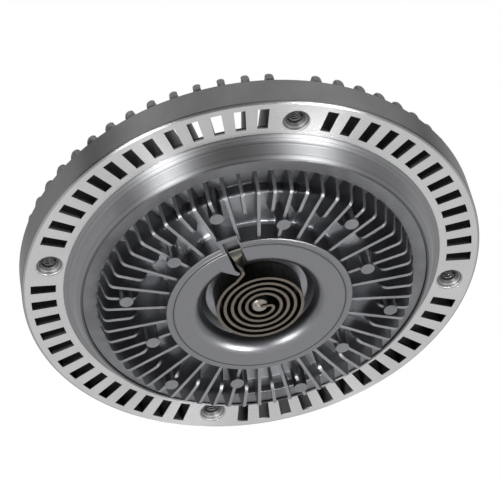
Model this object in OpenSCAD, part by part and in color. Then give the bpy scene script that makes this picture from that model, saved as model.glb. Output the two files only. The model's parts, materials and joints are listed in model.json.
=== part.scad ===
// Viscous fan clutch, millimetres.
// The shaft's axis runs along Y with the finned cover facing -Y and +Z up.
// The origin is the middle of the fan's bolt circle, on the machined face of the slotted ring.
// Every piece is drawn around its own Z axis first: there z is the place along the shaft, growing rearward,
// and angles run clockwise as seen from the front, with 0 on the right.

/* [Fan ring] */
// Outer radius of the ring and its drum wall
ring_r = 100; // [92:0.5:115]
// Width of the ring's face, from its edge to the collar's foot
ring_w = 17.8; // [17:0.1:19]
// Round on the ring's front edge
ring_edge = 1.4; // [0.6:0.1:2.6]
// Thickness of the slotted plate
plate_t = 1.7; // [1.4:0.1:3]
// Depth of the drum wall behind the ring face
drum_depth = 14.7; // [10:0.1:18]
// Draft of the drum wall, on the radius
drum_draft = 0.3; // [0:0.1:0.8]
// Stations around the ring, shared by slots, ribs and fins
stations = 60; // [48:12:72]
// Width of the rim outside the slots
rim_w = 3.7; // [3.4:0.1:5]
// Length of a slot along the radius
slot_l = 10.9; // [8:0.1:11.6]
// Angle that one slot takes up
slot_angle = 2.92; // [2:0.02:3.2]

/* [Rear ribs] */
// Thickness of a rear rib near its crest
rib_t = 3.2; // [2.4:0.1:3.6]
// Growth of that thickness down to the rib's root
rib_draft = 0.8; // [0.2:0.1:1]
// How far the ribs reach behind the ring face
rib_reach = 21.1; // [18:0.1:24]
// How far the ribs run in behind the chamber
rib_run = 15.2; // [8:0.2:18]
// Round of the ribs' outer corner
rib_corner = 5; // [3:0.1:6]
// Radius of the ribs' round crest
rib_crest = 1.5; // [1:0.1:1.6]

/* [Fan bolts] */
// Number of tapped holes
bolt_n = 4; // [4]
// Distance of the bolt circle from the ring's edge
bolt_inset = 10.7; // [9.6:0.1:11.4]
// Nominal diameter of the M6 thread
bolt_d = 6; // [5:0.1:8]
// Diameter of the countersink
sink_d = 12; // [8:0.2:12.4]
// Diameter of the boss behind a hole
bolt_boss_d = 14; // [12.8:0.2:15]
// Depth of the boss behind the ring face
bolt_boss_depth = 14; // [9:0.2:18]

/* [Rolled collar] */
// Width of the collar, from its foot to its front edge
collar_w = 4.6; // [4.2:0.1:5.4]
// Height of the collar's waist, where its steep wall starts
waist_h = 2.85; // [2.4:0.05:3.4]
// Lean of that wall, on the radius
waist_lean = 1.25; // [0.6:0.05:1.6]
// Height of the lip in front of the ring face
lip_h = 7.4; // [6.8:0.1:8]
// Thickness of the lip that is rolled over the cover
lip_t = 2; // [1:0.1:2.6]

/* [Front cover] */
// Wall of the collar's front edge around the cover's rim
crimp_wall = 0.8; // [0.6:0.1:1.2]
// Width of the cover's shoulder under the lip
shoulder_w = 1.5; // [1.2:0.1:2]
// Gap of the seam between lip and cover
seam = 0.6; // [0.2:0.05:0.8]
// Height of the flat flange in front of the ring face
flange_h = 7.9; // [7.6:0.1:9]
// Width of that flange, out to the seam
flange_w = 6.6; // [5:0.1:8]
// Height of the trough floor between the fins
trough_h = 4.1; // [3.6:0.1:5]
// Width of the trough
trough_w = 10.3; // [9:0.1:12]
// Height of the inner floor between the fins
floor_h = 9.4; // [8.6:0.1:10.4]
// Width of the hub's face around the coil's pocket
hub_w = 17.3; // [16.4:0.1:18.6]
// Height of the hub face
hub_h = 20; // [19.4:0.1:22]
// Wall of the casting
cover_wall = 3; // [2:0.1:3.6]
// Wall between the step and the fluid store behind the fins
store_wall = 5.9; // [5:0.1:8]

/* [Fins and pads] */
// Thickness of a fin
fin_t = 1.4; // [1:0.1:2]
// Height of the fins' front edges
fin_h = 18.2; // [15:0.1:19]
// Lean of the fins' outer edges, on the radius
fin_lean = 1.8; // [1:0.1:3]
// Round of the fins' outer corners
fin_corner = 2.4; // [1:0.1:4]
// Distance of the short fins' inner ends from the step
short_fin_gap = 7.9; // [5:0.1:11]
// Distance of the inner ring of pads from the step
pad_gap = 9.5; // [7:0.1:12]
// Diameter of a pad
pad_d = 5.9; // [4:0.1:7]
// Fins from one pad to the next in the same ring
pad_every = 5; // [5]

/* [Coil pocket and channel] */
// Gap between the coil and the pocket's wall
pocket_gap = 1.7; // [1.2:0.1:2.6]
// Height of the pocket floor
pocket_h = 11; // [10.4:0.1:11.4]
// Round of the pocket's rim
pocket_edge = 6.6; // [4:0.1:7]
// Width of the hub's rim, which is turned in two fine steps
hub_rim_w = 3.6; // [2.4:0.1:5]
// Width of the channel for the coil's outer end
channel_w = 6.6; // [6.2:0.1:7]
// Shift of the channel beside the line of the coil's tab
channel_shift = 0.55; // [0:0.05:0.8]
// Height of the ledge that the coil's tab lies on
ledge_h = 16.4; // [15.8:0.1:17]
// Length of the ledge
ledge_l = 10.1; // [9.6:0.1:11]
// How far the channel reaches out of the hub
channel_out = 3.1; // [2:0.1:4]
// Thickness of the cross wall that closes the channel
cross_wall = 2.2; // [1.4:0.1:3]

/* [Bimetal coil] */
// Thickness of the strip
strip_t = 1.3; // [0.9:0.05:1.4]
// Width of the strip along the shaft
strip_w = 9; // [8:0.1:9.2]
// Height of the coil's front edge
coil_h = 20.6; // [20:0.1:21.4]
// Radius of the innermost turn
coil_in_r = 5.4; // [5.2:0.1:5.8]
// Growth of the radius in one turn
coil_pitch = 3.115; // [2.8:0.05:3.15]
// Turns of the spiral
coil_turns = 4.58; // [4.56:0.01:4.6]
// Width of the flat tab at the outer end
tab_w = 5.8; // [4:0.1:6]
// Length of the tab's flat end
tab_l = 2.1; // [1:0.1:6]

/* [Control shaft and valve] */
// Radius of the slotted head inside the coil
head_r = 3.6; // [3.3:0.1:3.8]
// Height of the head's front end
head_h = 20; // [19:0.1:21]
// Radius of the journal
journal_r = 3; // [2.6:0.1:3.1]
// Outer radius of the bush
bush_r = 4.5; // [4:0.1:5]
// Radius of the boss around the bush
boss_r = 8; // [7:0.1:10]
// Thickness of the valve arm
arm_t = 1; // [0.7:0.1:1.1]
// Radius of the port in the divider plate
port_r = 2.5; // [1.5:0.1:3.5]
// Distance of the port from the fluid store's wall
port_gap = 9.5; // [8:0.1:12]
// Angle of the port, measured as the stations are
port_angle = 60; // [0:1:359]

/* [Divider plate and wiper] */
// Thickness of the plate
divider_t = 1; // [0.8:0.1:1.2]
// Number of rivets
rivet_n = 6; // [3:1:8]
// Distance of the rivets from the step, outward
rivet_gap = 3.6; // [2.6:0.1:6]
// Radius of a rivet's shank
rivet_r = 1.2; // [0.8:0.1:1.5]
// Length of the wiper along the rim
wiper_l = 12; // [8:0.5:16]

/* [Rotor] */
// Room around the rotor, which holds the wiper
rotor_gap = 4.7; // [4.2:0.1:6]
// Thickness of the rotor's web
rotor_t = 3; // [2:0.1:3.2]
// Height of the ring lands behind the web
land_h = 2.6; // [1.6:0.1:2.8]
// Margin outside the last land
land_margin = 3.1; // [2.6:0.1:5]
// Step from one land to the next
land_step = 4; // [3.6:0.1:4.2]
// Thickness of a land
land_t = 1.4; // [1:0.1:1.5]
// Number of lands
land_n = 6; // [3:1:6]

/* [Chamber and bearing] */
// Width of the seat behind the cover's rim
seat_w = 3.6; // [3.2:0.1:4]
// Depth of the chamber behind the ring face
chamber_depth = 7; // [6.8:0.1:8]
// Wall behind the chamber
rear_wall = 4; // [3:0.1:4.4]
// Bore of the bearing
bearing_bore = 20; // [19:0.5:21]
// Outer diameter of the bearing
bearing_od = 42; // [41:0.5:46]
// Width of the bearing
bearing_w = 12; // [11:0.5:14]
// Diameter of a bearing ball
ball_d = 6.3; // [5.6:0.1:6.5]
// Number of balls
ball_n = 9; // [6:1:9]
// Wall of the boss around the bearing
bearing_wall = 7; // [4:0.5:10]

/* [Input shaft] */
// Radius of the rotor's seat
rotor_seat_r = 9; // [8:0.1:9.3]
// Radius of the drive hub at the rear
drive_r = 16; // [14:0.5:17.5]
// Length of the drive hub
drive_l = 12; // [8:0.5:20]
// Distance across the hub's two wrench flats
drive_flats = 27; // [22:0.5:27.5]
// Core diameter of the M10 thread in the hub's end
drive_core_d = 8.5; // [6:0.1:10]
// Depth of that thread
drive_thread_depth = 22; // [12:0.5:26]

/* [Hidden] */
$fn = 96;
// Clearances between pieces that are pressed, that turn, and that only lie side by side
press = 0.02;
run = 0.05;
side = 0.3;
// Overlap that joins shapes into one piece, and the spare length of cutting shapes
join = 0.5;
past = 1;
// Small rounds and chamfers of castings and turned pieces
cast_edge = 0.8;
turned_edge = 0.5;

pitch = 360 / stations;
quarter = stations / bolt_n;

// Radii from the ring's edge inward
slot_out_r = ring_r - rim_w;
slot_in_r = slot_out_r - slot_l;
drum_in_r = slot_out_r + 0.15;
bolt_r = ring_r - bolt_inset;
collar_foot_r = ring_r - ring_w;
collar_top_r = collar_foot_r - collar_w;
cover_r = collar_top_r - crimp_wall;
neck_r = cover_r - shoulder_w;
fin_foot_r = neck_r - flange_w;
fin_top_r = fin_foot_r - fin_lean;
step_r = fin_foot_r - trough_w;
short_fin_r = step_r - short_fin_gap;
pad_in_r = step_r - pad_gap;
store_r = step_r - store_wall;
chamber_r = cover_r - seat_w;
divider_r = chamber_r - 0.6;
rotor_r = chamber_r - rotor_gap;
land_r = rotor_r - land_margin - land_t - (land_n - 1) * land_step;
rib_in_r = chamber_r - rib_run;
rivet_place_r = step_r + rivet_gap;
port_place_r = store_r - port_gap;
return_r = rotor_r - 2.5;

// Places along the shaft, front to rear
shoulder_z = lip_t - lip_h;
cover_rear_z = cover_wall - trough_h;
divider_z = cover_rear_z + divider_t;
cover_seat_z = divider_z + 0.9;
rotor_z = divider_z + 0.8;
rotor_rear_z = rotor_z + rotor_t;
rear_face_z = chamber_depth + rear_wall;
bearing_z = rear_face_z + 0.5;
bearing_mid_z = bearing_z + bearing_w / 2;
bearing_end_z = bearing_z + bearing_w;
circlip_t = 1.5;
boss_end_z = bearing_end_z + circlip_t + 1.5;
drive_end_z = bearing_end_z + drive_l;

// Radii inside the chamber and around the bearing
cover_bore_r = cover_r + run;
lip_in_r = neck_r + seam;
web_r = collar_foot_r - 0.2;
shaft_r = bearing_bore / 2;
race_r = bearing_od / 2;
ball_place_r = (shaft_r + race_r) / 2;
ball_r = ball_d / 2;
inner_race_r = ball_place_r - 0.3 * ball_d;
outer_race_r = ball_place_r + 0.3 * ball_d;
rotor_hub_r = shaft_r + 1.5;
body_hole_r = race_r - 3;

// Coil: a spiral that lies a little off the shaft, from the shaft's slot to the channel in the hub
coil_middle = [0.75, -0.7];
coil_out_r = norm(coil_middle) + coil_in_r + coil_pitch * coil_turns + strip_t / 2;
pocket_r = coil_out_r + pocket_gap;
hub_r = pocket_r + hub_w;
channel_r = hub_r + channel_out;
ledge_r = channel_r - ledge_l;
coil_start_angle = 15;
slot_line_angle = -18;
hook_r = 6.6;
hook_bend = 1.5;
channel_angle = 40 * pitch;
throat_r = pocket_r - 0.5;
throat_bend = 2;
twist_start_r = throat_r + 1.9;
twist_end_r = ledge_r - 0.2;
tab_end_r = twist_end_r + tab_l;
coil_rear_z = strip_w - coil_h;
tab_z = -ledge_h - strip_t / 2;

// Valve: from its seat on the control shaft to the port
arm_gap = 0.1;
arm_low_z = cover_rear_z - arm_gap - arm_t;
arm_high_z = arm_low_z - 1.4;
boss_rear_z = arm_high_z - 0.6;
clip_t = 0.6;
control_end_z = cover_rear_z - 0.3;
seal_h = pocket_h - 0.5;
seal_ring_r = (bush_r - journal_r) / 2 - run;
bush_front_z = -seal_h + 2 * seal_ring_r + 2 * run;

function polar(r, a) = [r * cos(a), r * sin(a)];
function arc(middle, r, a0, a1, n = 8) = [for (i = [0 : n]) middle + polar(r, a0 + (a1 - a0) * i / n)];
function unit(v) = v / norm(v);
function cross_left(v) = [-v[1], v[0]];

// Points of a round corner at b, between the lines a to b and b to c
function bend(a, b, c, r, n = 6) =
    let (u = unit(a - b), v = unit(c - b), half = acos(u * v) / 2)
    let (middle = b + unit(u + v) * r / sin(half), from = b + u * r / tan(half) - middle)
    let (turn = sign(u[0] * v[1] - u[1] * v[0]) * (2 * half - 180))
    [for (i = [0 : n]) let (t = turn * i / n)
        middle + [from[0] * cos(t) - from[1] * sin(t), from[0] * sin(t) + from[1] * cos(t)]];

// Outline of a strip of thickness t along a path
function side_points(path, d) = [for (i = [0 : len(path) - 1])
    let (a = path[max(i - 1, 0)], b = path[min(i + 1, len(path) - 1)])
    path[i] + cross_left(unit(b - a)) * d];
function strip_outline(path, t) =
    concat(side_points(path, t / 2), [for (p = [len(path) - 1 : -1 : 0]) side_points(path, -t / 2)[p]]);

// Turns a piece that is drawn around Z onto the clutch's axis
module on_shaft() {
    rotate([-90, 0, 0]) children();
}

// A plain ring
module ring(r_in, r_out, z0, z1) {
    translate([0, 0, z0]) difference() {
        cylinder(h = z1 - z0, r = r_out);
        translate([0, 0, -past]) cylinder(h = z1 - z0 + 2 * past, r = r_in);
    }
}

// A ring of round section
module o_ring(r, section_r, z) {
    rotate_extrude() translate([r, z]) circle(r = section_r, $fn = 32);
}

// A radial plate whose outline is given by radius and place along the shaft
module radial_plate(outline, t, angle) {
    rotate([90, 0, angle]) translate([0, 0, -t / 2]) linear_extrude(height = t) polygon(outline);
}

// Stations where the ring has a rib, and where it has a slot
rib_stations = [for (k = [0 : stations - 1]) if (k % quarter != 0) k];
slot_stations = [for (k = [0 : stations - 1]) if (k % quarter != 0 && k % quarter != quarter - 1) k];

// Section of the ring, collar, chamber wall and bearing boss
module body_section() {
    fine = 0.25;
    waist_r = collar_top_r + waist_lean;
    hollow_r = 1.2;
    wall_end_r = chamber_r - 0.7;
    boss_out_r = race_r + bearing_wall;
    polygon(concat(
        [[lip_in_r, shoulder_z], [lip_in_r, -lip_h + 0.1], [lip_in_r + 0.2, -lip_h],
            [collar_top_r - 0.7, -lip_h + 0.1], [collar_top_r, -lip_h + 0.7],
            [waist_r, -waist_h], [waist_r + fine, -waist_h + fine / 2]],
        arc([waist_r + fine + hollow_r, -3 * fine - hollow_r], hollow_r, 180, 90, 6),
        [[waist_r + 1.4 * fine + hollow_r, -2 * fine], [collar_foot_r - fine, -1.2 * fine],
            [collar_foot_r, 0]],
        arc([ring_r - ring_edge, ring_edge], ring_edge, 270, 360, 8),
        [[ring_r - drum_draft, drum_depth - cast_edge], [ring_r - drum_draft - cast_edge, drum_depth],
            [drum_in_r + cast_edge, drum_depth], [drum_in_r, drum_depth - cast_edge]],
        [[drum_in_r, plate_t], [web_r, plate_t], [wall_end_r, rear_face_z]],
        [[boss_out_r + 3, rear_face_z], [boss_out_r, rear_face_z + 3], [boss_out_r, boss_end_z - 1],
            [boss_out_r - 1, boss_end_z], [race_r + press, boss_end_z], [race_r + press, bearing_z],
            [body_hole_r, bearing_z], [body_hole_r, chamber_depth], [chamber_r, chamber_depth],
            [chamber_r, cover_seat_z], [cover_bore_r, cover_seat_z], [cover_bore_r, shoulder_z]]));
}

// A rear rib on the right: round at the outer corner, sloping at the inner end, with drafted sides
// and a crest that is round apart from a narrow flat
module rear_rib() {
    out_r = ring_r - 1.6;
    root_t = rib_t + rib_draft;
    draft_z = drum_depth - 2;
    crest_trim = 0.15;
    intersection() {
        radial_plate(concat(
            [[web_r + 1, plate_t - 1], [out_r, plate_t - 1]],
            arc([out_r - rib_corner, rib_reach - rib_corner], rib_corner, 0, 90, 5),
            [[rib_in_r + 7, rib_reach], [rib_in_r, rear_face_z - 0.6], [chamber_r - 2, rear_face_z - 0.6]]),
            2 * root_t, 0);
        rotate([90, 0, 90]) translate([0, 0, rib_in_r - past]) linear_extrude(height = ring_r - rib_in_r)
            polygon(concat([[root_t / 2, 0], [rib_t / 2, draft_z]],
                arc([0, rib_reach + crest_trim - rib_crest], rib_crest, 15, 165, 5),
                [[-rib_t / 2, draft_z], [-root_t / 2, 0]]));
    }
}

module rear_body() {
    color("silver") on_shaft() difference() {
        union() {
            rotate_extrude() body_section();
            for (k = [0 : land_n - 2]) let (r = land_r + land_step * (k + 0.5))
                ring(r, r + land_t, rotor_rear_z + 0.6, chamber_depth + join);
            for (k = [0 : bolt_n - 1]) rotate(k * 360 / bolt_n) translate([bolt_r, 0, plate_t - past])
                cylinder(h = bolt_boss_depth - plate_t + past, d = bolt_boss_d);
            for (k = rib_stations) rotate(k * pitch) rear_rib();
        }
        for (k = slot_stations) rotate((k + 0.5) * pitch) translate([0, 0, -past])
            linear_extrude(height = plate_t + 2 * past)
                polygon([for (c = [[slot_in_r, -1], [slot_out_r, -1], [slot_out_r, 1], [slot_in_r, 1]])
                    polar(c[0], c[1] * slot_angle / 2)]);
        for (k = [0 : bolt_n - 1]) rotate(k * 360 / bolt_n) translate([bolt_r, 0, 0]) {
            translate([0, 0, -past]) cylinder(h = bolt_boss_depth + 2 * past, d = bolt_d);
            translate([0, 0, -past]) cylinder(h = sink_d / 2 + past, r1 = sink_d / 2 + past, r2 = 0);
        }
        translate([0, 0, bearing_end_z]) cylinder(h = circlip_t + 2 * run, r = race_r + 1.5);
    }
}

// Section of the cover: pocket, hub, floors between the fins, flange, rim and the fluid store behind
module cover_section() {
    rim_r = hub_r - hub_rim_w;
    rim_mid_r = rim_r + 1.3;
    fine = 0.2;
    rim_edge = 0.4;
    edge_r = pocket_r + 1.5 + pocket_edge;
    wall_z = -hub_h + pocket_edge;
    polygon(concat(
        [[journal_r + 0.2, -pocket_h], [pocket_r - 1, -pocket_h], [pocket_r, -pocket_h - 1]],
        arc([edge_r, wall_z], pocket_edge, 180, 270, 14),
        [[rim_r, -hub_h], [rim_r + fine, -hub_h + fine], [rim_mid_r, -hub_h + fine],
            [rim_mid_r + fine, -hub_h + 2 * fine]],
        arc([hub_r - rim_edge, -hub_h + 2 * fine + rim_edge], rim_edge, 270, 360, 5),
        arc([hub_r + cast_edge + 0.3, -floor_h - cast_edge], cast_edge, 180, 90, 5),
        arc([step_r - cast_edge, -floor_h + cast_edge], cast_edge, 270, 360, 5),
        arc([step_r + cast_edge + 0.2, -trough_h - cast_edge], cast_edge, 180, 90, 5),
        arc([fin_foot_r - cast_edge, -trough_h - cast_edge], cast_edge, 90, 0, 5),
        arc([fin_foot_r + turned_edge, turned_edge - flange_h], turned_edge, 180, 270, 4),
        [[neck_r - turned_edge, -flange_h], [neck_r, -flange_h + turned_edge], [neck_r, shoulder_z],
            [cover_r, shoulder_z], [cover_r, cover_seat_z], [chamber_r, cover_seat_z],
            [chamber_r, cover_rear_z], [store_r, cover_rear_z],
            [store_r, cover_wall - floor_h], [boss_r, cover_wall - floor_h], [boss_r, boss_rear_z],
            [bush_r + press, boss_rear_z], [bush_r + press, -seal_h], [journal_r + 0.2, -seal_h]]));
}

// Outlines of the fins, from their front edge down into the casting
fin_foot = concat(
    bend([hub_r, -fin_h], [fin_top_r, -fin_h], [fin_foot_r + join, -flange_h + join], fin_corner),
    [[fin_foot_r + join, -flange_h + join], [fin_foot_r + join, join - trough_h],
        [step_r, join - trough_h], [step_r - join, join - floor_h]]);
long_fin = concat([[hub_r - join, join - floor_h], [hub_r - join, -fin_h]], fin_foot);
short_fin = concat([[short_fin_r, join - floor_h], [short_fin_r, -floor_h]],
    arc([short_fin_r + 6, -fin_h + 4], 4, 200, 270, 6), fin_foot);

// Nib that the coil's outer end bears on, in the channel's own frame, and the free way beside it
nib_clear = 1.6;
module throat_nib() {
    left = channel_shift - channel_w / 2;
    polygon([[hub_r - 8, left - 7], [throat_r + 4.7, left - 5], [throat_r - 0.1, left - 0.2],
        [throat_r - 0.3, left + 0.6], [throat_r + 0.1, left + 1.3], [throat_r + 0.7, left + 1.3],
        [throat_r + 3, left + 0.1], [hub_r - 8, left]]);
}

module front_cover() {
    color("darkgray") on_shaft() difference() {
        union() {
            rotate_extrude() cover_section();
            for (k = [0 : stations / 2 - 1]) {
                radial_plate(long_fin, fin_t, (2 * k + 1) * pitch);
                radial_plate(short_fin, fin_t, 2 * k * pitch);
            }
            for (k = [0 : pad_every : stations / 2 - 1]) {
                rotate((2 * k + pad_every) * pitch) translate([pad_in_r, 0, -hub_h])
                    cylinder(h = hub_h - floor_h + join, d = pad_d);
                rotate(2 * k * pitch) translate([step_r, 0, -hub_h])
                    cylinder(h = hub_h - trough_h + join, d = pad_d);
            }
            rotate(channel_angle) {
                wide = 2 * channel_r * sin(pitch);
                translate([hub_r - 3, -wide / 2, -hub_h])
                    cube([channel_r + cross_wall - hub_r + 3, wide, hub_h - floor_h + join]);
                translate([0, 0, -hub_h]) linear_extrude(height = hub_h - pocket_h + join) throat_nib();
            }
        }
        rotate(channel_angle) translate([0, channel_shift - channel_w / 2, -hub_h - past]) {
            translate([throat_r + 3, 0, 0]) {
                cube([channel_r - throat_r - 3, channel_w, hub_h - ledge_h + past]);
                cube([ledge_r - throat_r - 3, channel_w, hub_h - pocket_h + past]);
            }
            translate([throat_r - 0.5, nib_clear, 0])
                cube([3.5 + join, channel_w - nib_clear, hub_h - pocket_h + past]);
        }
        ring(cover_r - 1.6, cover_r + past, seal_z - 1, seal_z + 1);
        for (k = [0 : rivet_n - 1]) rotate(rivet_angle(k)) translate([rivet_place_r, 0, rivet_end_z])
            cylinder(h = cover_rear_z - rivet_end_z + past, r = rivet_r + press);
        rotate(return_angle) translate([store_r - past, -2.5, cover_rear_z - 1.2])
            cube([return_r + 2.5 - store_r + past, 5, 1.2 + past]);
    }
}

// Seal in the rim of the cover
seal_z = (shoulder_z + cover_seat_z) / 2;
module cover_seal() {
    color([0.12, 0.12, 0.12]) on_shaft() o_ring(cover_r - 0.8, 0.8 - press, seal_z);
}

// Path of the coil's strip, from the control shaft's slot outward
spiral_steps = 9;
function spiral_point(a) = coil_middle + polar(coil_in_r + coil_pitch * a / 360, coil_start_angle + a);
spiral = [for (i = [0 : ceil(360 * coil_turns / spiral_steps)])
    spiral_point(min(i * spiral_steps, 360 * coil_turns))];
hook_corner = polar(hook_r, slot_line_angle);
throat = polar(throat_r, channel_angle);
coil_path = concat(
    [polar(0.8, slot_line_angle)],
    bend(polar(0.8, slot_line_angle), hook_corner, spiral[1], hook_bend),
    [for (i = [1 : len(spiral) - 1]) spiral[i]],
    bend(spiral[len(spiral) - 1], throat, polar(twist_end_r, channel_angle), throat_bend),
    [polar(twist_start_r + join, channel_angle)]);

// Twisted tab: sections turn from standing on edge to lying flat on the ledge
twist_n = 12;
tab_sway = 0.5;
function smooth(t) = t * t * (3 - 2 * t);
function tab_section(x, t) =
    let (a = 90 * smooth(t), w = strip_w + (tab_w - strip_w) * min(1, 1.6 * t) - 0.1, h = strip_t - 0.04)
    let (z0 = (coil_rear_z - coil_h) / 2, z = z0 + (tab_z - z0) * smooth(t))
    let (y = channel_shift * smooth(t) + tab_sway * sin(180 * t))
    let (across = [sin(a), cos(a)] * w / 2, through = [cos(a), -sin(a)] * h / 2)
    [for (c = [[-1, -1], [1, -1], [1, 1], [-1, 1]])
        [x, y + c[0] * across[0] + c[1] * through[0], z + c[0] * across[1] + c[1] * through[1]]];
tab_sections = concat(
    [for (i = [0 : twist_n]) let (t = i / twist_n)
        tab_section(twist_start_r + (twist_end_r - twist_start_r) * t, t)],
    [tab_section(tab_end_r, 1)]);

module swept(sections) {
    m = len(sections[0]);
    last = len(sections) - 1;
    polyhedron(
        points = [for (s = sections) each s],
        faces = concat(
            [[for (j = [m - 1 : -1 : 0]) j]],
            [for (i = [0 : last - 1], j = [0 : m - 1], half = [0, 1])
                let (a = i * m + j, b = i * m + (j + 1) % m)
                half == 0 ? [a, b, a + m] : [b, b + m, a + m]],
            [[for (j = [0 : m - 1]) last * m + j]]));
}

module bimetal_coil() {
    color("rosybrown") on_shaft() {
        translate([0, 0, -coil_h]) linear_extrude(height = strip_w)
            polygon(strip_outline(coil_path, strip_t));
        rotate(channel_angle) swept(tab_sections);
    }
}

// Control shaft: head with a slot for the coil's inner end and a punch mark, journal, and flats for the arm
punch_place = [-1.2, -0.5];
punch_r = 1;
arm_seat_r = journal_r - 0.6;
arm_flat = journal_r - 1.3;
groove_r = arm_flat - 0.1;
clip_z = arm_high_z + arm_t;
module control_shaft() {
    slot_w = strip_t + 0.2;
    color("lightgray") on_shaft() difference() {
        union() {
            rotate_extrude() polygon([[0, -head_h], [head_r - turned_edge, -head_h],
                [head_r, turned_edge - head_h], [head_r, -pocket_h - side], [journal_r, -pocket_h - side],
                [journal_r, arm_high_z], [0, arm_high_z]]);
            translate([0, 0, arm_high_z - join]) rotate(port_angle) linear_extrude(arm_t + join)
                intersection() {
                    circle(r = arm_seat_r);
                    square([2 * journal_r, 2 * arm_flat], center = true);
                }
            translate([0, 0, arm_high_z - join]) cylinder(h = control_end_z - arm_high_z, r = groove_r);
            translate([0, 0, clip_z + clip_t]) cylinder(h = control_end_z - clip_z - clip_t, r = arm_seat_r);
        }
        rotate(slot_line_angle) translate([0.4, -slot_w / 2, -head_h - past])
            cube([head_r + past, slot_w, head_h + coil_rear_z + 0.1 + past]);
        translate([punch_place[0], punch_place[1], -head_h - past])
            cylinder(h = punch_r + past, r1 = punch_r + past, r2 = 0.1);
    }
}

module control_bush() {
    color("darkgoldenrod") on_shaft() ring(journal_r + run, bush_r, bush_front_z, boss_rear_z);
}

module control_seal() {
    color([0.15, 0.12, 0.1]) on_shaft()
        o_ring((journal_r + bush_r) / 2, seal_ring_r, -seal_h + seal_ring_r + run);
}

// Valve arm: sheet strip with a joggle, from the control shaft to a round pad over the port
module arm_outline() {
    pad = port_r + 2;
    difference() {
        union() {
            circle(r = journal_r + 3);
            polygon([[0, -journal_r - 2], [port_place_r, -pad], [port_place_r, pad], [0, journal_r + 2]]);
            translate([port_place_r, 0]) circle(r = pad);
        }
        intersection() {
            circle(r = arm_seat_r + press);
            square([2 * journal_r, 2 * arm_flat + 2 * press], center = true);
        }
    }
}
module valve_arm() {
    reach = port_place_r + port_r + 3;
    joggle_r = boss_r + 6;
    drop = arm_low_z - arm_high_z;
    lower = [[-boss_r, 0], [joggle_r, 0], [joggle_r + 4, drop], [reach, drop]];
    color("gainsboro") on_shaft() rotate(port_angle) intersection() {
        translate([0, 0, arm_high_z - past]) linear_extrude(height = drop + arm_t + 2 * past) arm_outline();
        translate([0, boss_r, arm_high_z]) rotate([90, 0, 0]) linear_extrude(height = 2 * boss_r)
            polygon(concat(lower, [for (i = [len(lower) - 1 : -1 : 0]) lower[i] + [0, arm_t]]));
    }
}

module valve_clip() {
    color("dimgray") on_shaft() difference() {
        ring(groove_r + press, journal_r + 0.9, clip_z + press, clip_z + clip_t - press);
        translate([0, -0.9, clip_z - past]) cube([journal_r + 2, 1.8, clip_t + 2 * past]);
    }
}

// Divider plate with its port, its return hole and countersunk rivets
return_angle = port_angle + 180;
wiper_angle = return_angle + 8;
rivet_end_z = cover_rear_z - 1.6;
function rivet_angle(k) = (k + 0.5) * 360 / rivet_n + pitch;
module rivet_shape(gap) {
    translate([0, 0, rivet_end_z + gap]) cylinder(h = cover_rear_z - rivet_end_z + join - gap, r = rivet_r);
    translate([0, 0, cover_rear_z]) cylinder(h = divider_t, r1 = rivet_r + 0.2 - gap, r2 = rivet_r + 1 - gap);
}

module divider_plate() {
    color("lightsteelblue") on_shaft() difference() {
        translate([0, 0, cover_rear_z]) cylinder(h = divider_t, r = divider_r);
        rotate(port_angle) translate([port_place_r, 0, cover_rear_z - past])
            cylinder(h = divider_t + 2 * past, r = port_r);
        rotate(return_angle) translate([return_r, 0, cover_rear_z - past])
            cylinder(h = divider_t + 2 * past, r = 1.6);
        for (k = [0 : rivet_n - 1]) rotate(rivet_angle(k)) translate([rivet_place_r, 0, 0]) rivet_shape(0);
    }
}

module divider_rivets() {
    color("gray") on_shaft()
        for (k = [0 : rivet_n - 1]) rotate(rivet_angle(k)) translate([rivet_place_r, 0, 0])
            rivet_shape(press);
}

// Wiper: a curved block on the divider plate, close to the rotor's rim
module wiper() {
    half = wiper_l / divider_r * 90 / PI;
    color("saddlebrown") on_shaft() rotate(wiper_angle - half) translate([0, 0, divider_z])
        rotate_extrude(angle = 2 * half) translate([rotor_r + side, 0])
            square([divider_r - rotor_r - side - 0.2, rotor_t + 1]);
}

module rotor_disc() {
    color("slategray") on_shaft() difference() {
        union() {
            translate([0, 0, rotor_z]) cylinder(h = rotor_t, r = rotor_r);
            translate([0, 0, rotor_z]) cylinder(h = bearing_z - rotor_z, r = rotor_hub_r);
            for (k = [0 : land_n - 1]) ring(land_r + land_step * k, land_r + land_step * k + land_t,
                rotor_rear_z - join, rotor_rear_z + land_h);
        }
        translate([0, 0, rotor_z - past])
            cylinder(h = bearing_z - rotor_z + 2 * past, r = rotor_seat_r + press);
        for (k = [0 : 5]) rotate(60 * k) translate([land_r - 6, 0, rotor_z - past])
            cylinder(h = rotor_t + 2 * past, r = 3);
        translate([0, 0, rotor_z - past]) cylinder(h = past + 1, r = rotor_clip_r + 0.4);
    }
}

// Retaining ring in front of the rotor, in a groove of the shaft's end
rotor_clip_r = rotor_seat_r + 1.2;
module rotor_clip() {
    color("dimgray") on_shaft() difference() {
        ring(rotor_seat_r - 0.7 + press, rotor_clip_r, rotor_z + 0.2, rotor_z + 1);
        translate([0, -1.5, rotor_z - past]) cube([rotor_clip_r + past, 3, 2 + past]);
    }
}

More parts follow.
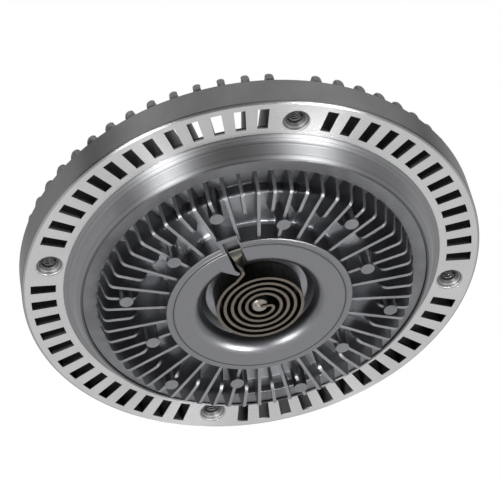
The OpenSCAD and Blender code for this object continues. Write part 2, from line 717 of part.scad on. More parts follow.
// Input shaft: rotor seat, bearing seat and the drive hub with its thread
module input_shaft() {
    color("gray") on_shaft() difference() {
        union() {
            translate([0, 0, rotor_z]) cylinder(h = bearing_z - rotor_z + join, r = rotor_seat_r);
            translate([0, 0, bearing_z]) cylinder(h = bearing_w + join, r = shaft_r);
            rotate_extrude() polygon([[0, bearing_end_z], [inner_race_r, bearing_end_z],
                [drive_r - 1, bearing_end_z + 2], [drive_r, bearing_end_z + 3], [drive_r, drive_end_z - 1],
                [drive_r - 1, drive_end_z], [0, drive_end_z]]);
        }
        for (s = [-1, 1]) translate([-drive_r - past, s > 0 ? drive_flats / 2 : -drive_flats / 2 - drive_r,
            bearing_end_z + 3]) cube([2 * drive_r + 2 * past, drive_r, drive_l]);
        translate([0, 0, drive_end_z - drive_thread_depth])
            cylinder(h = drive_thread_depth + past, d = drive_core_d);
        translate([0, 0, drive_end_z - 1])
            cylinder(h = 1 + past, r1 = drive_core_d / 2, r2 = drive_core_d / 2 + 2);
        ring(rotor_seat_r - 0.7, rotor_seat_r + past, rotor_z + 0.2 - press, rotor_z + 1 + press);
    }
}

// Ball bearing: rings with ball grooves, balls in a cage, and a seal on each side
module bearing_ring(r_in, r_out) {
    rotate_extrude() difference() {
        translate([r_in, bearing_z]) square([r_out - r_in, bearing_w]);
        translate([ball_place_r, bearing_mid_z]) circle(r = ball_r + run);
    }
}

module bearing_inner_ring() {
    color("lightgray") on_shaft() bearing_ring(shaft_r + press, inner_race_r);
}

module bearing_outer_ring() {
    color("lightgray") on_shaft() bearing_ring(outer_race_r, race_r);
}

module bearing_balls() {
    color("whitesmoke") on_shaft()
        for (k = [0 : ball_n - 1]) rotate(k * 360 / ball_n) translate([ball_place_r, 0, bearing_mid_z])
            sphere(r = ball_r, $fn = 48);
}

module bearing_cage() {
    half_w = ball_r + 0.9;
    color("goldenrod") on_shaft() difference() {
        ring(ball_place_r - 1, ball_place_r + 1, bearing_mid_z - half_w, bearing_mid_z + half_w);
        for (k = [0 : ball_n - 1]) rotate(k * 360 / ball_n) translate([ball_place_r, 0, bearing_mid_z])
            rotate([0, 90, 0]) translate([0, 0, -3]) cylinder(h = 6, r = ball_r + run);
    }
}

module bearing_seal(z) {
    color([0.2, 0.2, 0.22]) on_shaft() ring(inner_race_r + run, outer_race_r - press, z, z + 0.8);
}

module bearing_seal_front() {
    bearing_seal(bearing_z + 0.2);
}

module bearing_seal_rear() {
    bearing_seal(bearing_end_z - 1);
}

module bearing_circlip() {
    color("dimgray") on_shaft() difference() {
        ring(outer_race_r + 0.6, race_r + 1.4, bearing_end_z + run, bearing_end_z + run + circlip_t);
        translate([0, -4, bearing_end_z - past]) cube([race_r + 3, 8, circlip_t + 3 * past]);
    }
}

rear_body();
front_cover();
cover_seal();
bimetal_coil();
control_shaft();
control_bush();
control_seal();
valve_arm();
valve_clip();
divider_plate();
divider_rivets();
wiper();
rotor_disc();
rotor_clip();
input_shaft();
bearing_inner_ring();
bearing_outer_ring();
bearing_balls();
bearing_cage();
bearing_seal_front();
bearing_seal_rear();
bearing_circlip();
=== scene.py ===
import json
import math

import bmesh
import bpy
from mathutils import Matrix, Vector
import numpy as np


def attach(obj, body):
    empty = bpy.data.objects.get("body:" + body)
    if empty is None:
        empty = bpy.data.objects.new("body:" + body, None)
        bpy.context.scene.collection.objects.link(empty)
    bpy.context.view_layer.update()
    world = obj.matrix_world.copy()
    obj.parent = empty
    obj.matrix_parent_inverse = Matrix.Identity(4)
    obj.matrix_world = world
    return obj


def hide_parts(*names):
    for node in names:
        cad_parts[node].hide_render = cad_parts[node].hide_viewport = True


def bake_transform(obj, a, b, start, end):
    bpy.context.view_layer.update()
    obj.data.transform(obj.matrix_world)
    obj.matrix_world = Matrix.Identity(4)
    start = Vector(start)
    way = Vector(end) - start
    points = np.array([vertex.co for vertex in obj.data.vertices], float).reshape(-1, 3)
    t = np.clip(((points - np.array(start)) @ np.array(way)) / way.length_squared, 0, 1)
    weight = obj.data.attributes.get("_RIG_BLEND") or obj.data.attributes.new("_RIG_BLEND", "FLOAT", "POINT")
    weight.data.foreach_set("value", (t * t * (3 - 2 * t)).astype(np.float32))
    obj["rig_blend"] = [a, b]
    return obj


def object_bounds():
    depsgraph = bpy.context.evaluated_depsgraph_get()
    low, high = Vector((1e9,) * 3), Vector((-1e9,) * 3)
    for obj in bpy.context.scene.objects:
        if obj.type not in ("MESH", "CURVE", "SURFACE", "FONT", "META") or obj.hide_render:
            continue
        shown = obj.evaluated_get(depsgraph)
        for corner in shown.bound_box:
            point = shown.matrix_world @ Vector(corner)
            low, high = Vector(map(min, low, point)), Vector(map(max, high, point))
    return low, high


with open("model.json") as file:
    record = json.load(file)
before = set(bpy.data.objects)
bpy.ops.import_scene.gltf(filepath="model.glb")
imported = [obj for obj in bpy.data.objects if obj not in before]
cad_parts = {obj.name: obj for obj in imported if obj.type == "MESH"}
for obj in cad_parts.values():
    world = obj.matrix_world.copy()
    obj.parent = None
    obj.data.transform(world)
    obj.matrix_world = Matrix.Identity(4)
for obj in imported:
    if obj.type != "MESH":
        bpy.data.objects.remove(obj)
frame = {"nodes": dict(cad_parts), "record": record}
cad_box = [list(corner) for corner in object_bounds()]
scene = bpy.context.scene


# Rear casting: slotted ring, drum wall, rear ribs and bearing boss in one aluminium die casting.
# The ring's face and the collar are turned bright, and the collar's lip is rolled over the cover.
# The slots, the ribs and the rear keep the skin of the casting, painted darker as shade deep in the slots and
# between the ribs, and painted lighter on the rear faces for the dim light behind.
def add_node(tree, kind, **values):
    node = tree.nodes.new(kind)
    for name, value in values.items():
        setattr(node, name, value)
    return node


def feed(tree, socket, term):
    if isinstance(term, bpy.types.NodeSocket):
        tree.links.new(term, socket)
    else:
        socket.default_value = term


def calc(tree, operation, *terms):
    node = add_node(tree, "ShaderNodeMath", operation=operation)
    for socket, term in zip(node.inputs, terms):
        feed(tree, socket, term)
    return node.outputs[0]


def blend(tree, share, first, second, kind="RGBA"):
    node = add_node(tree, "ShaderNodeMix", data_type=kind)
    sockets = [socket for socket in node.inputs if socket.enabled]
    for socket, term in zip(sockets, (share, first, second)):
        feed(tree, socket, term)
    return next(socket for socket in node.outputs if socket.enabled)


def fade(tree, value, low, high, kind="SMOOTHSTEP"):
    node = add_node(tree, "ShaderNodeMapRange", interpolation_type=kind)
    tree.links.new(value, node.inputs["Value"])
    node.inputs["From Min"].default_value = low
    node.inputs["From Max"].default_value = high
    return node.outputs["Result"]


def new_group(name, inputs, outputs):
    tree = bpy.data.node_groups.new(name, "ShaderNodeTree")
    for label, value in inputs.items():
        socket = tree.interface.new_socket(label, in_out="INPUT", socket_type="NodeSocketFloat")
        socket.default_value = value
    for label in outputs:
        tree.interface.new_socket(label, in_out="OUTPUT", socket_type="NodeSocketFloat")
    return tree, add_node(tree, "NodeGroupInput"), add_node(tree, "NodeGroupOutput")


# Place on the clutch: distance from the shaft and place along it in millimetres,
# and how far a face looks rearward
mm_per_m = 1000.0
place_group, _, place_out = new_group("shaft_place", {}, ["Radius", "Along", "Facing"])
coordinates = add_node(place_group, "ShaderNodeTexCoord")
spot = add_node(place_group, "ShaderNodeSeparateXYZ")
place_group.links.new(coordinates.outputs["Object"], spot.inputs[0])
squares = [calc(place_group, "POWER", spot.outputs[axis], 2.0) for axis in ("X", "Z")]
from_shaft = calc(place_group, "SQRT", calc(place_group, "ADD", *squares))
looks = add_node(place_group, "ShaderNodeSeparateXYZ")
place_group.links.new(coordinates.outputs["Normal"], looks.inputs[0])
for label, metres in (("Radius", from_shaft), ("Along", spot.outputs["Y"])):
    place_group.links.new(calc(place_group, "MULTIPLY", metres, mm_per_m), place_out.inputs[label])
place_group.links.new(looks.outputs["Y"], place_out.inputs["Facing"])

# Fine rings that a lathe tool leaves, by the distance from the shaft
mark_contrast = (0.25, 0.75)
turned_group, turned_in, turned_out = new_group(
    "turned_marks", {"Radius": 0.0, "Pitch": 0.3}, ["Height", "Tone"])
rings = add_node(turned_group, "ShaderNodeTexNoise", noise_dimensions="1D")
rings.inputs["Scale"].default_value = 1.0
rings.inputs["Detail"].default_value = 3.0
tool_turns = calc(turned_group, "DIVIDE", turned_in.outputs["Radius"], turned_in.outputs["Pitch"])
turned_group.links.new(tool_turns, rings.inputs["W"])
turned_group.links.new(rings.outputs["Fac"], turned_out.inputs["Height"])
turned_group.links.new(fade(turned_group, rings.outputs["Fac"], *mark_contrast), turned_out.inputs["Tone"])

# Skin of a die casting: fine grain, and faint cloudy patches where the metal flowed
grain_share = 0.35
skin_contrast = (0.3, 0.7)
grain_group, grain_in, grain_out = new_group(
    "cast_grain", {"Grain": 1400.0, "Cloud": 60.0}, ["Height", "Tone"])
grain_place = add_node(grain_group, "ShaderNodeTexCoord")
fine = add_node(grain_group, "ShaderNodeTexNoise")
fine.inputs["Detail"].default_value = 4.0
cloud = add_node(grain_group, "ShaderNodeTexNoise")
cloud.inputs["Detail"].default_value = 3.0
for texture, label in ((fine, "Grain"), (cloud, "Cloud")):
    grain_group.links.new(grain_place.outputs["Object"], texture.inputs["Vector"])
    grain_group.links.new(grain_in.outputs[label], texture.inputs["Scale"])
patches = blend(grain_group, grain_share, cloud.outputs["Fac"], fine.outputs["Fac"], "FLOAT")
grain_group.links.new(fine.outputs["Fac"], grain_out.inputs["Height"])
grain_group.links.new(fade(grain_group, patches, *skin_contrast), grain_out.inputs["Tone"])


def use_group(tree, group, **inputs):
    node = add_node(tree, "ShaderNodeGroup", node_tree=group)
    for label, term in inputs.items():
        feed(tree, node.inputs[label], term)
    return node.outputs


def new_material(name, metallic=1.0, roughness=0.4):
    material = bpy.data.materials.new(name)
    material.use_nodes = True
    tree = material.node_tree
    shader = tree.nodes["Principled BSDF"]
    shader.inputs["Metallic"].default_value = metallic
    shader.inputs["Roughness"].default_value = roughness
    return material, tree, shader


def relief(tree, shader, height, depth):
    bump = add_node(tree, "ShaderNodeBump")
    bump.inputs["Strength"].default_value = 1.0
    bump.inputs["Distance"].default_value = depth
    tree.links.new(height, bump.inputs["Height"])
    tree.links.new(bump.outputs["Normal"], shader.inputs["Normal"])


def dress(node_name, material):
    slots = frame["nodes"][node_name].data.materials
    slots.clear()
    slots.append(material)


def all_of(tree, *masks):
    share = masks[0]
    for mask in masks[1:]:
        share = calc(tree, "MULTIPLY", share, mask)
    return share


def any_of(tree, *masks):
    share = masks[0]
    for mask in masks[1:]:
        share = calc(tree, "MAXIMUM", share, mask)
    return share


# A zone of a casting has borders in millimetres, each the stretch over which one finish fades into
# the next: outside or inside a radius, behind or ahead of a plane across the shaft
def zone(tree, place, outside=None, inside=None, behind=None, ahead=None):
    masks = []
    for label, rising, falling in (("Radius", outside, inside), ("Along", behind, ahead)):
        if rising:
            masks.append(fade(tree, place[label], *rising))
        if falling:
            masks.append(fade(tree, place[label], *reversed(falling)))
    return all_of(tree, *masks)


def tones(tree, share, dark, light):
    return blend(tree, share, (*dark, 1), (*light, 1))


def layers(tree, base, *coats, kind="RGBA"):
    for share, coat in coats:
        base = blend(tree, share, base, coat, kind)
    return base


ring_material, tree, shader = new_material("ring_casting")
place = use_group(tree, place_group)
marks = use_group(tree, turned_group, Radius=place["Radius"], Pitch=0.35)
grain = use_group(tree, grain_group)
collar_foot = (82.0, 82.4)
lip_front = (-6.9, -6.6)
ring_face = zone(tree, place, outside=collar_foot, ahead=(0.4, 0.8))
ring_edge = zone(tree, place, outside=(98.7, 99.1))
# Painted shade: the walls of the slots and the flanks of the ribs inside the drum are painted darker than the
# skin.
slot_and_rib_shade = zone(tree, place, inside=(96.5, 96.9), behind=(0.6, 1.0), ahead=(14.0, 18.0))
# Painted light: faces that look rearward are painted lighter than the skin, to make up for the dim light
# behind the clutch.
rear_painted_lighter = fade(tree, place["Facing"], 0.3, 0.7)
collar = zone(tree, place, inside=collar_foot, ahead=(-0.3, -0.05))
collar_wall = zone(tree, place, behind=lip_front, ahead=(-2.9, -2.4))
collar_lip = zone(tree, place, ahead=lip_front)
# Painted shade: the inner rim of the lip's bead is painted darker, and the seam under it nearly black, as the
# shadow in the gap between lip and cover.
bead_shade = zone(tree, place, inside=(75.7, 76.2))
seam_shadow = zone(tree, place, inside=(74.9, 75.0))

face_share = blend(tree, 0.5, marks["Tone"], grain["Tone"], "FLOAT")
face_colour = layers(tree, tones(tree, face_share, (0.46, 0.46, 0.465), (0.565, 0.565, 0.57)),
    (ring_edge, (0.38, 0.38, 0.384, 1)))
collar_colour = layers(tree, tones(tree, marks["Tone"], (0.31, 0.312, 0.32), (0.39, 0.392, 0.402)),
    (collar_wall, (0.33, 0.332, 0.34, 1)),
    (collar_lip, (0.29, 0.292, 0.299, 1)),
    (bead_shade, (0.16, 0.16, 0.163, 1)),
    (seam_shadow, (0.02, 0.02, 0.021, 1)))
ring_colour = layers(tree, tones(tree, grain["Tone"], (0.15, 0.15, 0.153), (0.18, 0.18, 0.184)),
    (slot_and_rib_shade, tones(tree, grain["Tone"], (0.06, 0.06, 0.061), (0.085, 0.085, 0.087))),
    (rear_painted_lighter, tones(tree, grain["Tone"], (0.36, 0.36, 0.366), (0.48, 0.48, 0.487))),
    (ring_face, face_colour),
    (collar, collar_colour))
tree.links.new(ring_colour, shader.inputs["Base Color"])

skin_rough, face_rough, edge_rough, collar_rough = 0.28, 0.185, 0.4, 0.5
ring_roughness = layers(tree, skin_rough,
    (ring_face, blend(tree, ring_edge, face_rough, edge_rough, "FLOAT")),
    (collar, collar_rough), kind="FLOAT")
tree.links.new(ring_roughness, shader.inputs["Roughness"])

# The turned face falls away a little from the collar to the rim, in a shallow curve
# that sets where the lamps streak on it
relief_depth = 3e-5
dish_rim, dish_foot = 98.5, 82.4
dish_rise = 30.0
dish_curve = calc(tree, "POWER", fade(tree, place["Radius"], dish_rim, dish_foot, "LINEAR"), 2.0)
dish = calc(tree, "MULTIPLY", dish_curve, dish_rise)
turned_part = any_of(tree, ring_face, collar)
ring_height = blend(tree, turned_part, grain["Height"], marks["Height"], "FLOAT")
relief(tree, shader, calc(tree, "ADD", ring_height, dish), relief_depth)

# The lathe's rings stretch each light into a streak across them
around = add_node(tree, "ShaderNodeTangent", direction_type="RADIAL", axis="Y")
tree.links.new(around.outputs["Tangent"], shader.inputs["Tangent"])
shader.inputs["Anisotropic"].default_value = 1.0
shader.inputs["Anisotropic Rotation"].default_value = 0.25
shader.inputs["Specular Tint"].default_value = (0.68, 0.68, 0.68, 1)
dress("rear_body", ring_material)


# Rolled edge: the inner rim of the collar's lip, aluminium like the ring it belongs to.
# A roller presses it down on the cover: the bead closes the seam and stands a little ahead of it.
def add_piece(name, mesh, material):
    for face in mesh.faces:
        face.smooth = True
    bmesh.ops.recalc_face_normals(mesh, faces=mesh.faces)
    piece_mesh = bpy.data.meshes.new(name)
    mesh.to_mesh(piece_mesh)
    mesh.free()
    piece = bpy.data.objects.new(name, piece_mesh)
    scene.collection.objects.link(piece)
    piece_mesh.materials.append(material)
    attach(piece, "housing")


def outline(mesh, points):
    corners = [mesh.verts.new(point) for point in points]
    edges = [mesh.edges.new(pair) for pair in zip(corners, corners[1:] + corners[:1])]
    return corners, edges


bead_round = 0.0006
bead_reach, bead_front = 0.0754, -0.0082
bead_foot = -0.0073
bead_inner = bead_reach - bead_round
bead_slope = [(0.0767, -0.0078), (0.0775, -0.0071), (0.0772, -0.0065)]
bead_angles = (0.5, 1.0, 1.5, 2.0)
bead_steps = 160
bead_line = [(bead_inner, bead_foot), (bead_inner, bead_front)]
for angle in bead_angles:
    bead_line.append((bead_reach - bead_round * math.cos(angle), bead_front - bead_round * math.sin(angle)))
bead_line += bead_slope
bead = bmesh.new()
corners, edges = outline(bead, [(reach, along, 0) for reach, along in bead_line])
bmesh.ops.spin(bead, geom=corners + edges, cent=(0, 0, 0), axis=(0, 1, 0), angle=math.tau,
    steps=bead_steps, use_merge=True)
add_piece("rolled_edge", bead, ring_material)


# Rib tops: the full round ends of the rear ribs, where they turn down to the drum wall.
# They are cast with the ring: one dome is swept over a rib's outer corner and copied to the others,
# apart from the stations that a fan hole takes.
bolts = next(mount for mount in frame["record"]["mounts"] if mount["name"] == "fan_bolts")
hole_count = bolts["dims"]["count"]
stations = 60
corner_round = 0.005
corner_reach, corner_along = 0.0934, 0.0161
corner_steps = 10
dome_start = 0.0144
rib_half = 0.0015
rib_crest = 0.01975
crest_limit = 0.9 * rib_half
overlap = 1.2e-4
sunk = 3e-4
rise_share = 0.5
section_steps = 8

path = [(corner_reach + corner_round, dome_start, 0.0)]
for step in range(corner_steps + 1):
    lean = math.pi / 2 * step / corner_steps
    reach = corner_reach + corner_round * math.cos(lean)
    path.append((reach, corner_along + corner_round * math.sin(lean), lean))
domes = bmesh.new()
sections = []
for reach, along, lean in path:
    above = min(max(0.0, along - rib_crest), crest_limit)
    half = math.sqrt(rib_half ** 2 - above ** 2) + overlap
    rise = rise_share * half * math.sin(2 * lean) ** 2
    foot = Vector((0, along, reach))
    normal = Vector((0, math.sin(lean), math.cos(lean)))
    sideways = Vector((half, 0, 0))
    points = [foot - normal * sunk + sideways]
    for step in range(section_steps + 1):
        angle = math.pi * step / section_steps
        points.append(foot + sideways * math.cos(angle) + normal * rise * math.sin(angle))
    points.append(foot - normal * sunk - sideways)
    sections.append(outline(domes, points)[1])
for first, second in zip(sections, sections[1:]):
    bmesh.ops.bridge_loops(domes, edges=first + second)
for end in (sections[0], sections[-1]):
    bmesh.ops.contextual_create(domes, geom=end)
first_corners = domes.verts[:]
first_dome = first_corners + domes.edges[:] + domes.faces[:]
for station in range(stations):
    if station % (stations // hole_count) == 0:
        continue
    copied = bmesh.ops.duplicate(domes, geom=first_dome)["geom"]
    bmesh.ops.rotate(domes, verts=[part for part in copied if isinstance(part, bmesh.types.BMVert)],
        cent=(0, 0, 0), matrix=Matrix.Rotation(math.tau * station / stations, 3, "Y"))
bmesh.ops.delete(domes, geom=first_corners, context="VERTS")
add_piece("rib_tops", domes, ring_material)


# Fan holes: four countersunk holes in the ring's face, tapped for the screws of the fan.
# Each is a turned skin on the cone of its hole, with the rings of the tool that cut it, painted darker
# towards the bottom of the cone as shade, and one ridge that winds down the wall, a little coarse so that the
# thread shows, with painted highlights on its crests and painted shade on its flanks.
bolt_circle = bolts["dims"]["pcd_mm"] / 2 / mm_per_m
hole_wall = bolts["dims"]["hole_r_mm"] / mm_per_m
sink_depth = bolts["pos_m"][1]
sink_steps = 48
tool_bands = 6
mark_height = 7e-5
mark_lean = 0.3
skin_proud = 2e-5
skin_back = 1e-4
face_gap = 1e-5
# The tool's rings alternate light and dark, and the bands are painted darker towards the bottom of the cone
# as shade.
band_and_shade_tones = (0.5, 0.22, 0.44, 0.18, 0.14, 0.06)
thread_pitch = 1.25e-3
thread_depth = 0.6e-3
thread_length = 9e-3
thread_turns = int(thread_length / thread_pitch)
thread_steps = 28
thread_start = sink_depth + 0.4e-3
ridge_foot, ridge_crest = 0.45 * thread_pitch, 0.12 * thread_pitch
crest_wall = hole_wall - 0.8 * thread_depth
# Painted highlight on the thread's crest and painted shade on its flanks.
crest_highlight_tone, flank_shade_tone = 0.9, 0.05
grain_dulling = 0.3

hole_material, tree, shader = new_material("cut_hole", 1.0, 0.5)
grain = use_group(tree, grain_group, Grain=2500.0, Cloud=400.0)
tone = add_node(tree, "ShaderNodeAttribute", attribute_name="tone")
cut_colour = tones(tree, tone.outputs["Fac"], (0.03, 0.03, 0.031), (0.62, 0.62, 0.625))
dulled = calc(tree, "MULTIPLY", grain["Tone"], grain_dulling)
hole_colour = blend(tree, dulled, cut_colour, (0.2, 0.2, 0.203, 1))
tree.links.new(hole_colour, shader.inputs["Base Color"])
relief(tree, shader, grain["Height"], 2e-5)

sink_line = []
for mark in range(tool_bands + 1):
    down = sink_depth * mark / tool_bands
    lift = skin_proud + mark_height * (mark % 2)
    sink_line.append((hole_wall + sink_depth - down - lift, down - lift * mark_lean + face_gap))
sink_line.append((hole_wall + skin_back, sink_depth + 2 * skin_back))
sink_line.append((hole_wall + sink_depth + skin_back, 2 * skin_back))
ridge_line = [
    (hole_wall + skin_proud, thread_start - ridge_foot),
    (hole_wall - thread_depth, thread_start - ridge_crest),
    (hole_wall - thread_depth, thread_start + ridge_crest),
    (hole_wall + skin_proud, thread_start + ridge_foot),
]
for number in range(hole_count):
    turn = math.tau * number / hole_count
    centre = Vector((math.sin(turn), 0, math.cos(turn))) * bolt_circle
    hole = bmesh.new()
    tone_layer = hole.faces.layers.float.new("tone")
    corners, edges = outline(hole, [centre + Vector((reach, along, 0)) for reach, along in sink_line])
    bmesh.ops.spin(hole, geom=corners + edges, cent=centre, axis=(0, 1, 0), angle=math.tau,
        steps=sink_steps, use_merge=True)
    for face in hole.faces:
        band = int(tool_bands * (face.calc_center_median() - centre).y / sink_depth)
        face[tone_layer] = band_and_shade_tones[min(band, tool_bands - 1)]
    cone_faces = set(hole.faces)
    corners, edges = outline(hole, [centre + Vector((reach, along, 0)) for reach, along in ridge_line])
    wound = bmesh.ops.spin(hole, geom=corners + edges, cent=centre, axis=(0, 1, 0),
        angle=math.tau * thread_turns, steps=thread_steps * thread_turns,
        dvec=(0, thread_pitch / thread_steps, 0))
    hole.faces.new(corners)
    hole.faces.new([part for part in wound["geom_last"] if isinstance(part, bmesh.types.BMVert)])
    for face in set(hole.faces) - cone_faces:
        middle = face.calc_center_median() - centre
        face[tone_layer] = crest_highlight_tone if math.hypot(middle.x, middle.z) < crest_wall else flank_shade_tone
    add_piece(f"fan_hole_{number + 1}", hole, hole_material)


# Ball bearing, seals and retaining rings: ground steel rings and balls, a pressed steel cage
# and moulded rubber seals. Blackened spring steel rings hold the bearing, the rotor and the valve.
grains_per_cloud = 8


def plain_finish(name, dark, light, roughness, metallic=1.0, fineness=400.0, depth=1e-5):
    material, tree, shader = new_material(name, metallic, roughness)
    grain = use_group(tree, grain_group, Grain=fineness, Cloud=fineness / grains_per_cloud)
    tree.links.new(tones(tree, grain["Tone"], dark, light), shader.inputs["Base Color"])
    relief(tree, shader, grain["Height"], depth)
    return material


def moulded_finish(name, dark, light):
    return plain_finish(name, dark, light, 0.7, metallic=0.0, fineness=2500.0, depth=2e-5)


bearing_steel = plain_finish("bearing_steel", (0.5, 0.5, 0.51), (0.58, 0.58, 0.59), 0.2)
for name in ("bearing_inner_ring", "bearing_outer_ring", "bearing_balls"):
    dress(name, bearing_steel)
dress("bearing_cage", plain_finish("cage_steel", (0.36, 0.33, 0.27), (0.42, 0.39, 0.33), 0.35))
seal_rubber = moulded_finish("seal_rubber", (0.02, 0.02, 0.021), (0.035, 0.035, 0.036))
for name in ("bearing_seal_front", "bearing_seal_rear", "cover_seal", "control_seal"):
    dress(name, seal_rubber)
spring_steel = plain_finish("spring_steel", (0.06, 0.06, 0.065), (0.1, 0.1, 0.105), 0.4)
for name in ("bearing_circlip", "rotor_clip", "valve_clip"):
    dress(name, spring_steel)


# Input shaft and rotor: turned steel with a drive hub at the rear,
# and a turned aluminium disc with ring lands that runs in the fluid.
def turned_metal(name, dark, light, roughness):
    material, tree, shader = new_material(name, 1.0, roughness)
    place = use_group(tree, place_group)
    end_face = fade(tree, calc(tree, "ABSOLUTE", place["Facing"]), 0.4, 0.6)
    tool_path = blend(tree, end_face, place["Along"], place["Radius"], "FLOAT")
    marks = use_group(tree, turned_group, Radius=tool_path, Pitch=0.3)
    tree.links.new(tones(tree, marks["Tone"], dark, light), shader.inputs["Base Color"])
    relief(tree, shader, marks["Height"], 2e-5)
    return material


dress("input_shaft", turned_metal("shaft_steel", (0.3, 0.3, 0.31), (0.38, 0.38, 0.39), 0.32))
dress("rotor_disc", turned_metal("rotor_aluminium", (0.5, 0.5, 0.51), (0.58, 0.58, 0.59), 0.35))


# Divider plate, rivets, valve arm and wiper: pressed sheet steel on the back of the cover,
# with a moulded plastic block that wipes the fluid off the rotor's rim.
sheet_steel = plain_finish("sheet_steel", (0.4, 0.41, 0.42), (0.47, 0.48, 0.49), 0.3)
for name in ("divider_plate", "divider_rivets", "valve_arm"):
    dress(name, sheet_steel)
dress("wiper", moulded_finish("wiper_plastic", (0.07, 0.045, 0.03), (0.1, 0.07, 0.05)))


# Front cover: an aluminium die casting with fins in two lengths, pads that the ejector pins leave,
# and a hub that is turned flat around the pocket of the coil.
# Its flange sits under the rolled lip, and its edges at the trough and the hub's foot carry painted
# highlights.
cover_material, tree, shader = new_material("cover_casting")
place = use_group(tree, place_group)
marks = use_group(tree, turned_group, Radius=place["Radius"], Pitch=0.3)
grain = use_group(tree, grain_group)
hub_rim = (41.0, 41.2)
trough_start = (58.4, 58.6)
front = fade(tree, place["Facing"], -0.8, -0.95)
fin_edge = all_of(tree, front, zone(tree, place, outside=hub_rim, behind=(-19.6, -19.2), ahead=(-10.4, -9.8)))
pad = all_of(tree, front, zone(tree, place, outside=hub_rim, ahead=(-19.7, -19.4)))
pocket_floor = zone(tree, place, inside=(24.0, 25.0), behind=(-12.0, -11.5))
# Painted shade: the rounded lip of the coil's pocket is painted darker than the casting.
pocket_lip_painted_shade = zone(tree, place, inside=(32.5, 33.0), ahead=(-12.2, -11.8))
# Painted shade: the fine groove turned in the hub is painted nearly black.
hub_groove_shade = all_of(tree, front, zone(tree, place, outside=(37.0, 37.2), inside=(37.5, 37.7)))
# Painted shade: the ledge of the coil's channel, under the tab, is painted darker than the casting.
channel_ledge_shade = all_of(tree, front,
    zone(tree, place, inside=(44.0, 45.0), behind=(-17.2, -16.8), ahead=(-16.0, -15.6)))
hub_foot = zone(tree, place,
    outside=(40.2, 40.35), inside=(42.0, 42.4), behind=(-11.3, -10.9), ahead=(-9.45, -9.2))
# Painted light: the floor between the fins inside the trough's step is painted lighter than the casting.
inner_floor_painted_lighter = all_of(tree, front,
    zone(tree, place, outside=(41.5, 42.0), inside=trough_start, behind=(-9.8, -9.6)))
# Painted light: the trough and its outer wall are painted lighter, to make up for the dark that they reflect.
trough_painted_lighter = all_of(tree, zone(tree, place, outside=trough_start, behind=(-7.8, -7.4)),
    any_of(tree, front, zone(tree, place, outside=(68.2, 68.5))))
trough_inner_edge = zone(tree, place,
    outside=(57.2, 57.5), inside=(59.4, 59.8), behind=(-9.6, -9.45), ahead=(-8.7, -8.4))
trough_outer_edge = zone(tree, place,
    outside=(68.5, 68.6), inside=(69.2, 69.4), behind=(-8.1, -7.9), ahead=(-7.5, -7.2))
# Painted highlights: thin bright lines on the edges of the trough and on the fillet at the hub's foot.
painted_edge_highlight = any_of(tree, trough_outer_edge, trough_inner_edge, hub_foot)
flange = zone(tree, place, outside=(66.0, 67.0))
turned = all_of(tree, front,
    any_of(tree, zone(tree, place, inside=(40.4, 41.2)), zone(tree, place, outside=(68.6, 68.8))))

turned_colour = layers(tree, tones(tree, marks["Tone"], (0.18, 0.182, 0.191), (0.205, 0.207, 0.218)),
    (flange, tones(tree, grain["Tone"], (0.115, 0.116, 0.122), (0.175, 0.177, 0.186))))
cover_colour = layers(tree, tones(tree, grain["Tone"], (0.165, 0.167, 0.175), (0.225, 0.228, 0.239)),
    (inner_floor_painted_lighter, tones(tree, grain["Tone"], (0.26, 0.263, 0.276), (0.345, 0.349, 0.366))),
    (trough_painted_lighter, tones(tree, grain["Tone"], (0.34, 0.344, 0.361), (0.44, 0.445, 0.467))),
    (painted_edge_highlight, (0.52, 0.526, 0.552, 1)),
    (pocket_lip_painted_shade, tones(tree, grain["Tone"], (0.125, 0.127, 0.133), (0.155, 0.157, 0.165))),
    (turned, turned_colour),
    (any_of(tree, fin_edge, pocket_floor),
        tones(tree, grain["Tone"], (0.19, 0.192, 0.202), (0.255, 0.258, 0.271))),
    (pad, tones(tree, grain["Tone"], (0.16, 0.162, 0.17), (0.235, 0.238, 0.25))),
    (hub_groove_shade, (0.05, 0.051, 0.053, 1)),
    (channel_ledge_shade, (0.14, 0.142, 0.149, 1)))
tree.links.new(cover_colour, shader.inputs["Base Color"])
cast_rough, turned_rough, dull_rough = 0.36, 0.3, 0.5
cover_roughness = layers(tree, cast_rough,
    (turned, turned_rough), (any_of(tree, flange, trough_painted_lighter, fin_edge), dull_rough), kind="FLOAT")
tree.links.new(cover_roughness, shader.inputs["Roughness"])
relief(tree, shader, blend(tree, turned, grain["Height"], marks["Height"], "FLOAT"), 3.5e-5)
dress("front_cover", cover_material)


# Control shaft and bush: a turned steel pin whose slotted head is peened over the coil's inner end,
# in a sintered bronze bush.
dress("control_shaft", turned_metal("pin_steel", (0.2, 0.185, 0.165), (0.32, 0.3, 0.27), 0.36))
dress("control_bush", plain_finish("bronze", (0.45, 0.28, 0.11), (0.55, 0.36, 0.16), 0.45,
    fineness=1800.0, depth=3e-5))


# Bimetal coil: a rolled strip wound on edge, with an olive brown cut edge, nearly black flanks
# and a dark tab at the outer end, which is twisted flat to lie in the cover's channel.
coil_material, tree, shader = new_material("bimetal", 1.0, 0.5)
place = use_group(tree, place_group)
grain = use_group(tree, grain_group, Grain=900.0, Cloud=120.0)
cut_edge = fade(tree, place["Facing"], -0.7, -0.9)
tab = zone(tree, place, outside=(23.4, 24.2))
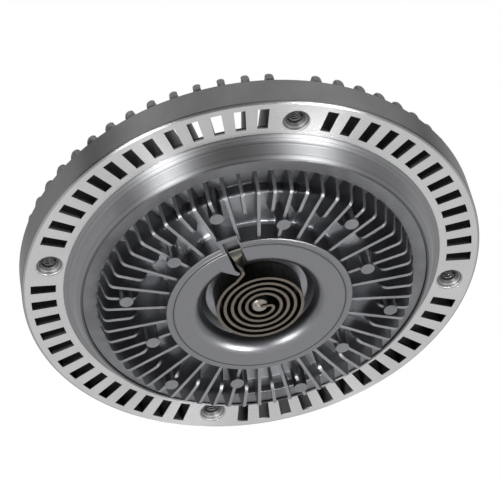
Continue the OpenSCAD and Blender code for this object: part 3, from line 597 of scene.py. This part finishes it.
# Painted highlight: a light line across the tab near its outer end.
tab_end_highlight = all_of(tree, cut_edge, zone(tree, place, outside=(34.4, 34.7)))
tab_colour = layers(tree, tones(tree, grain["Tone"], (0.032, 0.031, 0.026), (0.048, 0.046, 0.038)),
    (cut_edge, tones(tree, grain["Tone"], (0.06, 0.058, 0.05), (0.085, 0.083, 0.072))),
    (tab_end_highlight, (0.24, 0.235, 0.22, 1)))
coil_colour = layers(tree, tones(tree, grain["Tone"], (0.012, 0.011, 0.01), (0.03, 0.027, 0.024)),
    (cut_edge, tones(tree, grain["Tone"], (0.108, 0.094, 0.078), (0.14, 0.122, 0.102))),
    (tab, tab_colour))
tree.links.new(coil_colour, shader.inputs["Base Color"])
relief(tree, shader, grain["Height"], 2e-5)
dress("bimetal_coil", coil_material)

# The strip winds up with the valve: its inner end turns with the control shaft, its outer turn
# stays in the cover, and each turn between takes its share of the angle
weld_gap = 1e-7
strip_mesh = frame["nodes"]["bimetal_coil"].data.copy()
joined = bmesh.new()
joined.from_mesh(strip_mesh)
bmesh.ops.remove_doubles(joined, verts=joined.verts, dist=weld_gap)
joined.to_mesh(strip_mesh)
joined.free()
strip = bpy.data.objects.new("bimetal_strip", strip_mesh)
scene.collection.objects.link(strip)
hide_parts("bimetal_coil")
inner_turn, outer_turn = 0.0045, 0.0185
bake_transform(strip, "housing", "valve", start=(outer_turn, 0, 0), end=(inner_turn, 0, 0))
for vertex, share in zip(strip_mesh.vertices, strip_mesh.attributes["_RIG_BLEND"].data):
    reach = math.hypot(vertex.co.x, vertex.co.z)
    share.value = min(1.0, max(0.0, (outer_turn - reach) / (outer_turn - inner_turn)))


# Floor: a plain white sheet under the clutch, which keeps a faint shadow.
# It looks white to the camera and in the metal, and takes the lamps as a pale matt sheet.
sheet_half = 40.0
floor_z = cad_box[0][2]
floor_mesh = bpy.data.meshes.new("floor")
sheet = bmesh.new()
bmesh.ops.create_grid(sheet, x_segments=1, y_segments=1, size=sheet_half,
    matrix=Matrix.Translation((0, 0, floor_z)))
sheet.to_mesh(floor_mesh)
sheet.free()
floor = bpy.data.objects.new("floor", floor_mesh)
scene.collection.objects.link(floor)
white_share = 0.995
floor_material, tree, shader = new_material("pale_floor", 0.0, 0.9)
shader.inputs["Base Color"].default_value = (0.8, 0.8, 0.8, 1)
ray = add_node(tree, "ShaderNodeLightPath")
seen = any_of(tree, *(ray.outputs[f"Is {kind} Ray"] for kind in ("Camera", "Glossy", "Transmission")))
white = add_node(tree, "ShaderNodeEmission")
mixed = add_node(tree, "ShaderNodeMixShader")
tree.links.new(calc(tree, "MULTIPLY", seen, white_share), mixed.inputs["Fac"])
tree.links.new(shader.outputs["BSDF"], mixed.inputs[1])
tree.links.new(white.outputs["Emission"], mixed.inputs[2])
tree.links.new(mixed.outputs["Shader"], tree.nodes["Material Output"].inputs["Surface"])
floor_mesh.materials.append(floor_material)


# Studio: a dim grey room, two soft boxes in front that draw the streaks on the turned ring,
# soft panels above and at the right, and a wide panel behind that lights the drum wall.
world = bpy.data.worlds.new("studio")
world.use_nodes = True
scene.world = world
room = world.node_tree.nodes["Background"]
room.inputs["Color"].default_value = (1, 1, 1, 1)
room.inputs["Strength"].default_value = 0.19

# Each lamp: its direction from the clutch, its distance, its width and height in metres, its watts
lamps = {
    "front_left_box": ((-0.50, -0.84, 0.22), 1.3, (0.25, 0.25), 13.5),
    "front_right_box": ((0.36, -0.90, 0.24), 1.3, (0.25, 0.25), 15.5),
    "right_panel": ((0.88, -0.4, 0.3), 2.0, (1.4, 1.4), 2.5),
    "top_panel": ((0.1, 0.15, 1.0), 1.8, (2.4, 1.4), 4.0),
    "back_panel": ((0.05, 0.88, 0.48), 2.2, (5.0, 2.8), 47.0),
}
for name, (direction, distance, size, watts) in lamps.items():
    light = bpy.data.lights.new(name, "AREA")
    light.shape = "RECTANGLE"
    light.size, light.size_y = size
    light.energy = watts
    lamp = bpy.data.objects.new(name, light)
    way = Vector(direction).normalized()
    lamp.location = way * distance
    lamp.rotation_euler = way.to_track_quat("Z", "Y").to_euler()
    scene.collection.objects.link(lamp)


# Camera: a long lens in front of the clutch and above it, a little to its left.
# It is turned about its own axis, so that the clutch leans in the frame.
camera_place = Vector((-0.35268, -0.95468, 0.95386))
camera_target = Vector((-0.00407, 0.0, 0.01380))
camera_roll = math.radians(15.88)
lens = bpy.data.cameras.new("camera")
lens.lens = 232.57
lens.sensor_width = 36.0
camera = bpy.data.objects.new("camera", lens)
camera.location = camera_place
look = (camera_target - camera_place).to_track_quat("-Z", "Y").to_matrix()
camera.rotation_euler = (look @ Matrix.Rotation(camera_roll, 3, "Z")).to_euler()
scene.collection.objects.link(camera)
scene.camera = camera
scene.view_settings.view_transform = "Standard"
